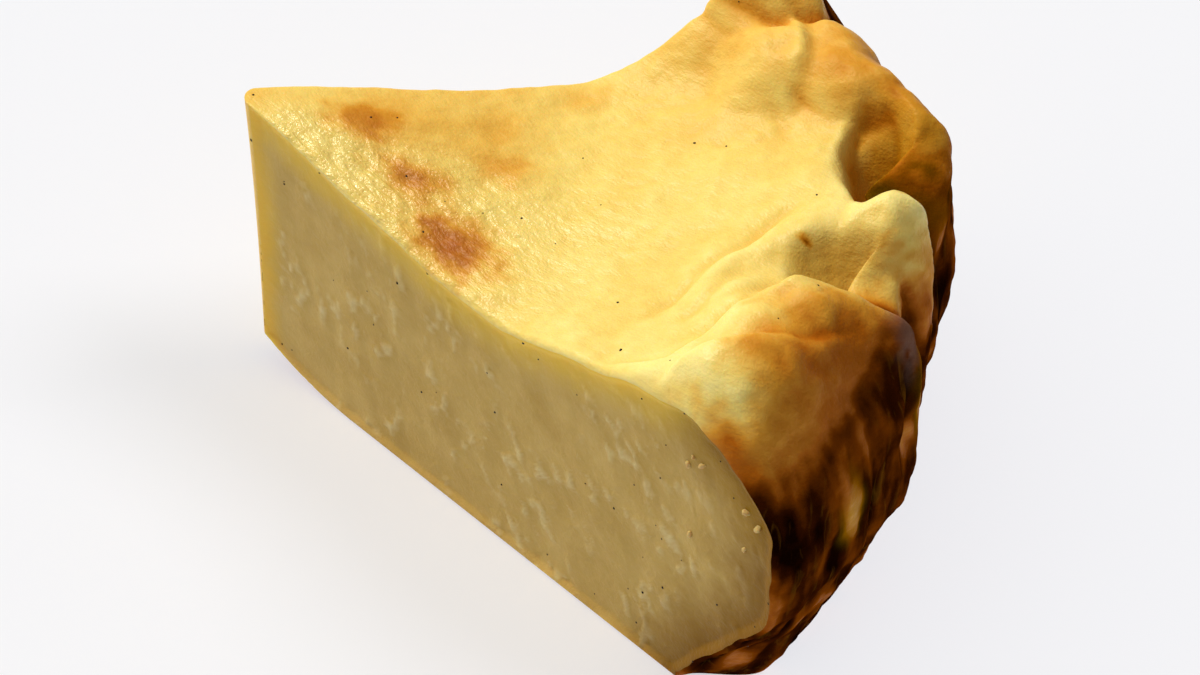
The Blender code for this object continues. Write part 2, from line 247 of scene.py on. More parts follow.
def bareSkin():
    # rows from the top of the tip out to the rim, down the wall, back under the base and up the tip
    s, m = sliceShape, sliceMesh
    angle = columnAngles(np.array([[90.0]]))[0]
    tipAngle = columnAngles(np.array([[4.0]]))[0]
    start = tipStart(s["tipWear"], tipAngle)
    rim = atRim(s["rimRadii"], angle)
    drop = atRim(s["shoulderDrops"], angle)
    power = atRim(s["shoulderPowers"], angle)
    wall = atRim(s["wallRadii"], angle)

    step = np.linspace(0.0, 1.0, m["topRows"] + 1)[:, None]
    topOut = start + (rim - start) * (1.0 - (1.0 - step) ** m["rimCrowding"])
    topZ = topHeight(topOut, angle)

    turn = np.linspace(0.0, math.pi / 2, m["shoulderRows"] + 1)[1:, None]
    wallTop = topZ[-1:] - drop
    shoulderOut = rim + (wall - rim) * np.sin(turn) ** power
    shoulderZ = wallTop + drop * np.maximum(np.cos(turn), 0.0) ** power

    step = np.linspace(0.0, 1.0, m["wallRows"] + 1)[1:, None]
    wallOut = wall * np.ones_like(step)
    wallZ = wallTop + (s["cornerHeight"] - wallTop) * step

    step = np.linspace(1.0, 0.0, m["cornerRows"] + 1)[1:, None]
    besideCut = 1.0 - between(angle, -s["halfAngle"], s["cutFootReach"] - s["halfAngle"])
    foot = s["footRadius"] + (s["cutFootRadius"] - s["footRadius"]) * besideCut
    cornerOut = foot + (wall - foot) * step ** s["cornerPower"]
    cornerZ = s["cornerHeight"] * step * np.ones_like(angle)

    # the base has as many rows as the top and shoulder, and the tip as many as the wall, so that the
    # cuts can be filled with grids
    reach = np.concatenate((topOut, shoulderOut))
    baseOut = tipStart(s["tipFootWear"], tipAngle)
    baseOut = baseOut + (foot - baseOut) * (reach[::-1][1:] - reach[:1]) / (reach[-1:] - reach[:1])
    baseZ = s["tipLift"] * np.clip(1.0 - baseOut / s["liftReach"], 0.0, 1.0) ** 2

    step = np.linspace(0.0, 1.0, m["wallRows"] + m["cornerRows"] + 1)[1:, None]
    tipZ = baseZ[-1:] + (topZ[:1] - baseZ[-1:]) * step
    wear = s["tipFootWear"] + (s["tipWear"] - s["tipFootWear"]) * np.sin(math.pi / 2 * step)
    tipOut = tipStart(wear, tipAngle)

    out = np.vstack((topOut, shoulderOut, wallOut, cornerOut, baseOut, tipOut))
    z = np.vstack((topZ, shoulderZ, wallZ, cornerZ, baseZ, tipZ))
    steps = np.hypot(np.diff(out, axis=0), np.diff(z, axis=0))
    along = start + np.vstack((np.zeros_like(angle), np.cumsum(steps, axis=0)))
    angles, sunk = columnAngles(out.mean(axis=1, keepdims=True))
    return out, z, along, angles, sunk


def ribSwell(along, angle, bottom, near, far, reach, swell, foot):
    half = sliceShape["halfAngle"]
    rim = atRim(sliceShape["rimRadii"], angle)
    down = np.clip((along - rim) / (bottom - rim), 0.0, 1.0)
    left = near[0] + (near[1] - near[0]) * down
    right = far[0] + (far[1] - far[0]) * down
    across = np.abs(2.0 * (angle - left) / (right - left) - 1.0)
    arch = np.sqrt(np.maximum(1.0 - across ** ribForm["roundness"], 0.0))
    soft = 1.0 - between(angle, -half, -half + ribForm["smoothedByCut"])
    reach = reach + ribForm["reachByCut"] * soft
    rise = np.clip((along - rim + reach) / (reach + ribForm["rise"]), 0.0, 1.0)
    begin = soft * smooth(rise) + (1.0 - soft) * np.sqrt(1.0 - (1.0 - rise) ** 2)
    return swell * arch * begin * (1.0 - (1.0 - foot) * down)


def moundHeight(along, across, out, angle, length, width, height):
    side = np.radians(across - angle) * out
    return height * np.maximum(1.0 - ((along - out) / length) ** 2 - (side / width) ** 2, 0.0) ** 1.5


def creaseDepth(along, angle, start, end, depth, width):
    scale = np.radians(1.0) * arcs["creases"]
    a = np.array((start[0], start[1] * scale))
    run = np.array((end[0], end[1] * scale)) - a
    across = angle * scale
    held = np.clip(((along - a[0]) * run[0] + (across - a[1]) * run[1]) / run.dot(run), 0.0, 1.0)
    away = np.hypot(along - a[0] - held * run[0], across - a[1] - held * run[1])
    return depth * np.exp(-(away / width) ** 1.3) * (0.4 + 0.6 * np.sin(math.pi * held))


def edgeHeight(along, angle, line, left, right):
    scale = np.radians(1.0) * arcs["foldEdges"]
    across = angle * scale
    nearest, height, side = np.full_like(along, 1e9), np.zeros_like(along), np.zeros_like(along)
    for (x, y, h), (nextX, nextY, nextH) in zip(line, line[1:]):
        run = np.array((nextX - x, (nextY - y) * scale))
        held = np.clip(((along - x) * run[0] + (across - y * scale) * run[1]) / run.dot(run), 0.0, 1.0)
        offX, offY = along - x - held * run[0], across - y * scale - held * run[1]
        away = np.hypot(offX, offY)
        closer = away < nearest
        nearest = np.where(closer, away, nearest)
        height = np.where(closer, h + (nextH - h) * held, height)
        side = np.where(closer, (run[0] * offY - run[1] * offX) / math.sqrt(run.dot(run)), side)
    leftShare = smooth(0.5 + side / 1.2)
    reach = right + (left - right) * leftShare
    return height * bell((nearest / reach) ** 1.2)


def folds(along, angle, bottom):
    stands = np.zeros_like(along)
    for rib in ribs:
        stands = softMax(stands, ribSwell(along, angle, bottom, **rib), meltWidth)
    raised, sunk = np.zeros_like(along), np.zeros_like(along)
    for mound in mounds:
        made = moundHeight(along, angle, **mound)
        raised, sunk = softMax(raised, made, meltWidth), np.minimum(sunk, made)
    raised = softMax(stands, raised, meltWidth) + sunk
    raised = raised + sum(edgeHeight(along, angle, **edge) for edge in foldEdges)
    return raised - sum(creaseDepth(along, angle, **crease) for crease in creases)


# how far the skin stands out or in besides its folds, in mm
relief = dict(
    wander=0.7, wanderSize=12.0,          # how far the folds stray, growing over the climb to the rim
    puffHeight=0.45, puffSize=4.5,        # small puffs on the folds
    greaseHeight=0.34, greaseSize=(2.6, 1.1, 2.0),      # wrinkles in the greasy skin along the near cut
    pleatHeight=0.9, pleatSize=(40.0, 7.0, 40.0),       # marks that the crumpled paper left down the wall
    streakHeight=0.5, streakSize=(9.0, 2.2, 9.0),
    curdHeight=0.26, curdSize=(2.0, 3.8, 1.0), curdLean=24.0,           # smears that the knife left
    curdPatches=(10.0, 14.0, 1.0), curdGrain=(0.9, 1.5, 1.0),
    dragHeight=0.22, dragSize=(5.0, 16.0, 1.0),
    poreHeight=0.07, poreSize=0.9,
)

# unevenness that comes in over a stretch along the skin
skinLayers = [
    dict(height=0.45, size=9.0, comes=(8.0, 28.0), seed=7.0),        # the slow waves of the top
    dict(height=0.55, size=13.0, comes=(45.0, 65.0), seed=15.0),     # soft lumps on the climb to the rim
    dict(height=0.16, size=1.6, comes=(4.0, 14.0), seed=31.0),       # crinkles
]

# browning, from 0 where the skin is pale yellow to 1 where it is burnt black, with painted shade in the
# creases
browning = dict(
    top=0.10, tip=0.30, tipReach=6.0,
    farTint=0.14, tintPlace=30.0, tintReach=17.0,        # the far half of the top is a little browner
    farSlope=0.09,
    rimLevel=0.54, farRimLevel=0.43, rimReach=11.0,      # reach and start are mm past the rim
    wallLevel=0.84, wallStart=7.0, wallReach=7.0, wallEarly=3.5,
    wallStreaks=0.27, streakSize=(11.0, 3.4, 9.0),
    base=0.72, tipEdge=0.24,                             # the tip's edge is cut custard
    uneven=0.05, unevenSize=9.0, raggedSize=2.4,         # ragged edges of the spots
    hollow=0.24,          # painted shade: how much browner a crease is, for each mm that it lies below its surroundings, and paler a crest
)

# spots and stretches that differ: place along the skin and angle, length and width in mm, level and
# strength; later ones lie over the earlier
brownAndShadeSpots = [
    dict(out=19.5, angle=7.5, length=7.0, width=5.0, level=0.38, strength=0.75),
    dict(out=18.5, angle=5.5, length=4.2, width=3.0, level=0.60, strength=0.75),
    dict(out=28.5, angle=-10.5, length=6.0, width=3.4, level=0.42, strength=0.8),
    dict(out=28.5, angle=-10.5, length=3.4, width=1.8, level=0.56, strength=0.7),
    dict(out=39.5, angle=-21.0, length=7.6, width=4.8, level=0.42, strength=0.85),
    dict(out=39.0, angle=-21.5, length=6.4, width=3.6, level=0.60, strength=0.85),
    dict(out=39.0, angle=3.0, length=3.6, width=3.0, level=0.46, strength=0.7),
    dict(out=37.0, angle=15.0, length=3.0, width=3.0, level=0.38, strength=0.6),
    dict(out=50.0, angle=24.0, length=4.0, width=3.0, level=0.36, strength=0.6),
    dict(out=33.0, angle=9.0, length=5.0, width=4.0, level=0.3, strength=0.5),
    # the knob, the pale bump at the far rim, the thumb and its outer side
    dict(out=86.5, angle=-14.2, length=4.6, width=5.6, level=0.20, strength=0.9),
    dict(out=77.5, angle=21.0, length=6.0, width=8.0, level=0.26, strength=0.9),
    dict(out=91.5, angle=-0.8, length=7.0, width=5.4, level=0.0, strength=0.95),
    dict(out=104.0, angle=-1.4, length=8.0, width=4.0, level=0.56, strength=0.85),
    # the smooth valley, the pale smear down from it, and the lip over the near cut
    dict(out=88.5, angle=-8.0, length=6.0, width=6.0, level=0.22, strength=0.9),
    dict(out=95.0, angle=-6.0, length=6.5, width=4.6, level=0.10, strength=0.95),
    dict(out=85.0, angle=-27.0, length=7.0, width=4.6, level=0.0, strength=0.95),
    # in the pocket and down the channel below it: painted shade in the pocket, and burnt crust with painted
    # shadow down the channel
    dict(out=90.5, angle=8.6, length=3.4, width=5.4, level=0.50, strength=0.9),
    dict(out=97.0, angle=4.4, length=8.0, width=3.6, level=0.76, strength=0.9),
    dict(out=112.0, angle=1.8, length=16.0, width=4.0, level=0.90, strength=0.9),
    # the browned brow of the near lobe, and the outer edge on the far side
    dict(out=95.0, angle=-23.0, length=4.6, width=5.5, level=0.54, strength=0.85),
    dict(out=94.5, angle=-18.0, length=4.4, width=9.0, level=0.57, strength=0.8),
    dict(out=102.0, angle=6.0, length=5.5, width=9.0, level=0.84, strength=0.9),
    dict(out=98.0, angle=15.0, length=4.5, width=9.0, level=0.80, strength=0.85),
    # the burnt tip beside the near lobe, and a stray flake
    dict(out=101.5, angle=-9.4, length=5.0, width=3.4, level=0.86, strength=1.0),
    dict(out=112.0, angle=-9.0, length=10.0, width=4.0, level=0.70, strength=0.8),
    dict(out=83.8, angle=-5.6, length=0.8, width=0.4, level=0.92, strength=1.0),
]
wallSpots = [
    dict(angle=-27.0, z=38.5, width=3.5, height=6.0, level=1.0, strength=0.9),
    dict(angle=-21.0, z=35.0, width=1.9, height=5.0, level=0.58, strength=0.95),
    dict(angle=-14.0, z=42.0, width=7.0, height=6.0, level=0.84, strength=0.8),
    dict(angle=-12.0, z=33.0, width=1.6, height=3.0, level=0.62, strength=0.9),
    dict(angle=-18.5, z=34.0, width=1.0, height=8.0, level=0.97, strength=0.8),
    dict(angle=-4.5, z=44.0, width=2.4, height=8.0, level=0.62, strength=0.7),
]

# stretches where the skin is olive rather than browned; in the valley, the pocket and the channel the olive
# is painted shade
oliveAndShadeSpots = [
    dict(out=89.0, angle=-7.2, length=7.0, width=6.5, strength=0.5),
    dict(out=90.0, angle=7.0, length=7.0, width=7.0, strength=0.5),
    dict(out=109.4, angle=-21.0, length=4.4, width=1.8, strength=0.55),
    dict(out=112.0, angle=-9.0, length=10.0, width=3.0, strength=0.35),
    dict(out=97.5, angle=3.6, length=6.0, width=3.0, strength=0.2),
]

# grey blisters where the burnt skin came away from the paper
ashSpots = [
    dict(out=99.0, angle=-11.4, length=4.0, width=2.2, strength=0.65),
    dict(out=108.0, angle=-8.4, length=5.0, width=1.6, strength=0.35),
]


def skinSheet():
    m, s, r = sliceMesh, sliceShape, relief
    out, z, along, angles, edgeSunk = bareSkin()
    foot = m["topRows"] + m["shoulderRows"] + m["wallRows"] + m["cornerRows"]
    rim = atRim(s["rimRadii"], angles)
    run, climb = np.gradient(out, axis=0), np.gradient(z, axis=0)
    length = np.hypot(run, climb)
    run, climb = run / length, climb / length

    # the folds wander a little, as baked folds do
    place = unrolled(along, angles, arcs["creases"])
    wander = r["wander"] * between(along, 55.0, 75.0)
    movedAlong = along + wander * grain(place, r["wanderSize"], 2, 3.0)
    movedAngle = angles + np.degrees(wander * grain(place, r["wanderSize"], 2, 41.0) / arcs["creases"])
    stands = folds(movedAlong, movedAngle, along[foot])
    stands[foot:] = 0.0
    corner = slice(foot - m["cornerRows"], foot + 1)
    stands[corner] *= z[corner] / s["cornerHeight"]

    # relief on the folded skin
    spot = toPoints(out - stands * climb, z + stands * run, angles) / mm
    onFolds = between(along - rim, -14.0, 0.0)
    onWall = between(along - rim, 8.0, 20.0)
    bumps = r["puffHeight"] * grain(spot, r["puffSize"], 2, 23.0) * onFolds * (1.0 - onWall)
    for layer in skinLayers:
        comes = between(along, *layer["comes"])
        bumps += layer["height"] * grain(spot, layer["size"], 2, layer["seed"]) * comes
    bumps += r["greaseHeight"] * grain(aligned(spot), r["greaseSize"], 2, 131.0) * greasy(along, angles)
    wall = unrolled(along, angles, arcs["wall"])
    pleats = 1.0 - 2.0 * np.abs(grain(wall, r["pleatSize"], 2, 51.0))
    streaks = grain(wall, r["streakSize"], 2, 57.0)
    bumps += (r["pleatHeight"] * (pleats - 0.4) + r["streakHeight"] * streaks) * onWall
    bumps *= between(out, 1.0, 9.0)
    bumps[foot:] = 0.0
    bumps[corner] *= between(z[corner], 0.0, 6.0)
    edgeSunk[foot: -(m["wallRows"] + m["cornerRows"])] *= 0.3      # the cuts meet the base more sharply
    stands = eased(stands + bumps, 1)
    # painted shade: how far each point lies below its blurred surroundings, to darken creases and pale crests
    hollow = np.clip(eased(stands, 9) - stands, -0.3, 1.2)
    stands = stands - edgeSunk
    out, z = out - stands * climb, np.maximum(z + stands * run, 0.0)
    out[-1], z[-1] = out[0], z[0]

    marks = skinMarks(along, angles, z, rim, foot, spot, hollow)
    return out, z, angles, foot, marks


def unrolled(along, angle, radius):
    # the skin laid flat: mm along it, mm across it
    return np.stack((along, np.radians(angle) * radius, np.zeros_like(along)), axis=-1)


def aligned(spot):
    # the same points, turned so that their first axis runs along the near cut
    turn = -math.radians(sliceShape["halfAngle"])
    ahead = spot[..., 0] * math.cos(turn) + spot[..., 1] * math.sin(turn)
    aside = spot[..., 1] * math.cos(turn) - spot[..., 0] * math.sin(turn)
    return np.stack((ahead, aside, spot[..., 2]), axis=-1)


def greasy(along, angle):
    # how greasy the top is: most along the near cut and towards the tip
    inward = between(along, 3.0, 11.0) * bell(np.maximum(along - 28.0, 0.0) / 24.0)
    return inward * smooth((14.0 - angle) / 28.0)


def patch(places, along, angle, uneven):
    # how strongly any of the places covers each point
    total = np.zeros_like(along)
    for place in places:
        side = np.radians(angle - place["angle"]) * arcs["spots"]
        away = np.hypot((along - place["out"]) / place["length"], side / place["width"]) + 0.5 * uneven
        total = np.maximum(total, place["strength"] * bell(np.maximum(away, 0.0) ** 1.5))
    return total


def skinMarks(along, angle, z, rim, foot, spot, hollow):
    b = browning
    beyond = along - rim
    uneven = grain(spot, b["unevenSize"], 3, 67.0)
    ragged = grain(spot, b["raggedSize"], 3, 111.0)
    level = b["top"] + (b["tip"] - b["top"]) * bell(along / b["tipReach"])
    tinted = bell((along - b["tintPlace"]) / b["tintReach"]) * between(angle, -12.0, 13.0)
    level = level + b["farTint"] * tinted
    level = level + b["farSlope"] * between(angle, -2.0, 22.0) * between(along, 48.0, 68.0)
    rimLevel = b["rimLevel"] + (b["farRimLevel"] - b["rimLevel"]) * between(angle, 2.0, 14.0)
    onRim = smooth((beyond + 5.0 + 6.0 * between(angle, 2.0, 12.0) + 3.0 * uneven) / b["rimReach"])
    level = level + (rimLevel - level) * onRim

    # the wall's brown begins further in on the far side and on the near lobe, and less far in by the cut
    early = between(angle, 3.0, 9.0) + bell((angle + 12.0) / 5.0) - smooth((-21.0 - angle) / 6.0)
    early = b["wallEarly"] * early
    burnt = smooth((beyond - b["wallStart"] + early + 3.0 * uneven) / (b["wallReach"] - 0.8 * np.abs(early)))
    level = level + (b["wallLevel"] - level) * burnt
    # browned spots, and painted shade in the pocket and the channel
    for place in brownAndShadeSpots:
        side = np.radians(angle - place["angle"]) * np.maximum(place["out"], 12.0)
        away = np.hypot((along - place["out"]) / place["length"], side / place["width"]) + 0.4 * ragged
        level = level + (place["level"] - level) * place["strength"] * bell(np.maximum(away, 0.0) ** 1.5)
    onWall = between(beyond, 6.0, 12.0)
    for place in wallSpots:
        side = np.radians(angle - place["angle"]) * arcs["wallSpots"]
        away = np.hypot((z - place["z"]) / place["height"], side / place["width"]) + 0.3 * uneven
        share = place["strength"] * onWall * bell(np.maximum(away, 0.0) ** 2)
        level = level + (place["level"] - level) * share
    streaks = grain(unrolled(along, angle, arcs["wall"]), b["streakSize"], 3, 121.0)
    level = level + b["wallStreaks"] * streaks * between(beyond, 9.0, 14.0)
    # painted shade darkens the creases and pales the crests
    level = level + b["uneven"] * uneven + b["hollow"] * hollow * between(along, 40.0, 55.0)
    level[foot + 1:] = b["base"]
    level[foot + sliceMesh["topRows"] + sliceMesh["shoulderRows"]:] = b["tipEdge"]
    # olive, and painted shade in the valley, the pocket and the channel
    oliveAndShade = patch(oliveAndShadeSpots, along, angle, uneven)
    ash = patch(ashSpots, along, angle, uneven) * smooth(0.8 + 1.4 * ragged)
    shine = greasy(along, angle)
    oliveAndShade[foot + 1:], ash[foot + 1:], shine[foot + 1:] = 0.0, 0.0, 0.0
    return dict(brownAndShade=np.clip(level, 0.0, 1.0), oliveAndShade=oliveAndShade, ash=ash, shine=shine)


def toPoints(out, z, angle):
    turn = np.radians(angle)
    x = -sliceShape["tinRadius"] / 2 + out * np.cos(turn)
    return np.stack((x, out * np.sin(turn), z), axis=-1) * mm


def addPanel(name, points, marks):
    # a grid primitive whose points are moved on to the surface; marks are values kept at its points
    rows, columns = points.shape[0] - 1, points.shape[1] - 1
    deselectAll()
    bpy.ops.mesh.primitive_grid_add(x_subdivisions=rows, y_subdivisions=columns, size=1.0)
    panel = bpy.context.object
    panel.name = name
    flat = np.empty(len(panel.data.vertices) * 3)
    panel.data.vertices.foreach_get("co", flat)
    flat = flat.reshape(-1, 3)
    row = np.rint((flat[:, 0] + 0.5) * rows).astype(int)
    column = np.rint((flat[:, 1] + 0.5) * columns).astype(int)
    panel.data.vertices.foreach_set("co", points[row, column].ravel())
    for mark, values in marks.items():
        panel.data.attributes.new(mark, "FLOAT", "POINT").data.foreach_set("value", values[row, column])
    return panel


def depthBelow(flat, line):
    # distance in mm from each point of a cut to a stretch of its edge
    points = flat.reshape(-1, 2)
    nearest = np.full(len(points), 1e9)
    for start in range(0, len(line), 40):
        some = line[start: start + 40]
        away = ((points[:, None, :] - some[None, :, :]) ** 2).sum(-1).min(1)
        nearest = np.minimum(nearest, away)
    return np.sqrt(nearest).reshape(flat.shape[:-1])


def edgeDepths(flat, edge, foot):
    # how far each point of a cut is from the skin of the top, the crust and the tip
    wide = sliceMesh["topRows"] + sliceMesh["shoulderRows"]
    stretches = dict(underTop=edge[: wide + 1], behindWall=edge[wide - sliceMesh["crustRows"]: foot + 1],
                     besideTip=edge[foot + wide:])
    return {name: depthBelow(flat, stretch) for name, stretch in stretches.items()}


def cutSheet(line, foot):
    # a grid between the four sides of a cut: base below, top above, tip and wall at its ends
    m = sliceMesh
    wide, high = m["topRows"] + m["shoulderRows"], m["wallRows"] + m["cornerRows"]
    top = line[: wide + 1]
    wall = line[wide: foot + 1][::-1]
    base = line[foot: foot + wide + 1][::-1]
    tip = line[foot + wide:]
    u = np.linspace(0.0, 1.0, wide + 1)[:, None, None]
    v = np.linspace(0.0, 1.0, high + 1)[None, :, None]
    flat = (1 - v) * base[:, None] + v * top[:, None] + (1 - u) * tip[None] + u * wall[None]
    low = (1 - u) * (1 - v) * base[0] + u * (1 - v) * base[-1]
    return flat - low - (1 - u) * v * top[0] - u * v * top[-1]


def cutPanel(out, z, colour, angle, foot):
    m, r = sliceMesh, relief
    wide = m["topRows"] + m["shoulderRows"]
    line = np.stack((out, z, colour), axis=-1)
    flat = cutSheet(line, foot)
    edge = line[:, :2]
    depths = edgeDepths(flat[..., :2], edge, foot)
    above = depthBelow(flat[..., :2], edge[foot: foot + wide])
    side = math.copysign(1.0, angle)

    # curd smears lean over, so the pattern is turned before it is stretched
    lean = math.radians(r["curdLean"]) * between(flat[..., 0], 15.0, 55.0)         # upright by the tip
    across = flat[..., 0] * np.cos(lean) + flat[..., 1] * np.sin(lean)
    upward = flat[..., 1] * np.cos(lean) - flat[..., 0] * np.sin(lean)
    turned = np.stack((across, upward, np.full_like(across, side * 50.0)), axis=-1)
    curds = smooth((grain(turned, r["curdSize"], 4, 71.0) + 0.10) / 0.7)
    patches = smooth(0.5 + 1.6 * grain(turned, r["curdPatches"], 2, 83.0))
    smears = curds * patches * (0.75 + 0.5 * grain(turned, r["curdGrain"], 2, 95.0))
    drag = grain(turned, r["dragSize"], 2, 101.0)
    pores = grain(turned, (r["poreSize"],) * 2 + (1.0,), 2, 91.0)
    inner = smooth(np.minimum.reduce([*depths.values(), above]) / 1.5)
    sunk = r["curdHeight"] * (1.0 - smears) + r["dragHeight"] * (1.0 - drag) + r["poreHeight"] * (1.0 - pores)
    sunk = sunk * inner
    points = toPoints(flat[..., 0], flat[..., 1], angle)
    turn = math.radians(angle)
    outward = np.array((-math.sin(turn), math.cos(turn), 0.0)) * side
    points = points - outward * (sunk * mm)[..., None]
    marks = dict(brownAndShade=flat[..., 2], **depths, smear=np.clip(smears, 0.0, 1.0))
    marks.update({name: np.zeros_like(above) for name in ("oliveAndShade", "ash", "shine")})
    return addPanel("cut", points, marks)


def makeSlice(finishes):
    out, z, angles, foot, marks = skinSheet()
    marks.update({name: np.zeros_like(out) for name in ("underTop", "behindWall", "besideTip", "smear")})
    for column in (0, -1):
        edge = np.stack((out[:, column], z[:, column]), axis=-1)
        for name, depth in edgeDepths(edge, edge, foot).items():
            marks[name][:, column] = depth
    panels = [addPanel("cheesecake", toPoints(out, z, angles), marks)]
    for column in (0, -1):
        brownAndShade = marks["brownAndShade"][:, column]
        panels.append(cutPanel(out[:, column], z[:, column], brownAndShade, angles[0, column], foot))
    for panel, finish in zip(panels, (0, 1, 1)):
        for material in finishes:
            panel.data.materials.append(material)
        panel.data.polygons.foreach_set("material_index", [finish] * len(panel.data.polygons))
    deselectAll()
    for panel in panels:
        panel.select_set(True)
    bpy.context.view_layer.objects.active = panels[0]
    bpy.ops.object.join()
    bpy.ops.object.mode_set(mode="EDIT")
    bpy.ops.mesh.select_all(action="SELECT")
    bpy.ops.mesh.remove_doubles(threshold=sliceMesh["joined"] * mm)

    # the narrow tip needs fewer faces, and the flat base hardly any
    bpy.ops.mesh.select_all(action="DESELECT")
    mesh = bmesh.from_edit_mesh(panels[0].data)
    for vertex in mesh.verts:
        away = math.hypot(vertex.co.x + 0.5 * sliceShape["tinRadius"] * mm, vertex.co.y)
        vertex.select = away < sliceMesh["tipReach"] * mm
    bpy.ops.mesh.remove_doubles(threshold=sliceMesh["tipJoined"] * mm)
    bpy.ops.mesh.select_all(action="DESELECT")
    bpy.ops.mesh.select_mode(type="FACE")
    mesh = bmesh.from_edit_mesh(panels[0].data)
    for face in mesh.faces:
        face.select = max(vertex.co.z for vertex in face.verts) < 0.01 * mm
    bmesh.update_edit_mesh(panels[0].data)
    bpy.ops.mesh.dissolve_faces(use_verts=False)
    bpy.ops.mesh.select_all(action="SELECT")
    bpy.ops.mesh.normals_make_consistent(inside=False)
    bpy.ops.object.mode_set(mode="OBJECT")
    bpy.ops.object.shade_smooth_by_angle(angle=math.radians(45.0))
    return panels[0]


# materials

def linear(code):   # sRGB hex to the linear values that the shaders take
    parts = [int(code[i: i + 2], 16) / 255.0 for i in (1, 3, 5)]
    return tuple(v / 12.92 if v <= 0.04045 else ((v + 0.055) / 1.055) ** 2.4 for v in parts) + (1.0,)


def addNode(material, kind, links=(), **settings):
    # settings name a property of the node or one of its sockets, in0 and so on where only its number tells;
    # links are (socket, source node, source socket)
    tree = material.node_tree
    node = tree.nodes.new("ShaderNode" + kind)
    properties = node.bl_rna.properties
    for name in sorted(settings, key=lambda name: name not in properties):
        if name in properties:
            setattr(node, name, settings[name])
        else:
            socket = int(name[2:]) if name[:2] == "in" and name[2:].isdigit() else name.replace("_", " ")
            node.inputs[socket].default_value = settings[name]
    for socket, source, output in links:
        tree.links.new(source.outputs[output], node.inputs[socket])
    return node


def newMaterial(name, **settings):
    material = bpy.data.materials.new(name)
    material.use_nodes = True
    shader = material.node_tree.nodes["Principled BSDF"]
    for socket, value in settings.items():
        shader.inputs[socket.replace("_", " ")].default_value = value
    return material, shader


def rampStops(ramp, stops):
    elements = ramp.color_ramp.elements
    for place, code in stops[1:-1]:
        elements.new(place)
    for element, (place, code) in zip(elements, stops):
        element.position = place
        element.color = linear(code)


brownColours = [(0.0, "#fbec98"), (0.12, "#f1d878"), (0.26, "#ebc05a"), (0.42, "#d99a30"),
                (0.58, "#b2640f"), (0.72, "#763905"), (0.86, "#371402"), (1.0, "#120401")]
# the olive colour also paints shade in the valley, the pocket and the channel
oliveAndShadeColour, threadColour, ashColour = "#b28606", "#946418", "#7c6257"


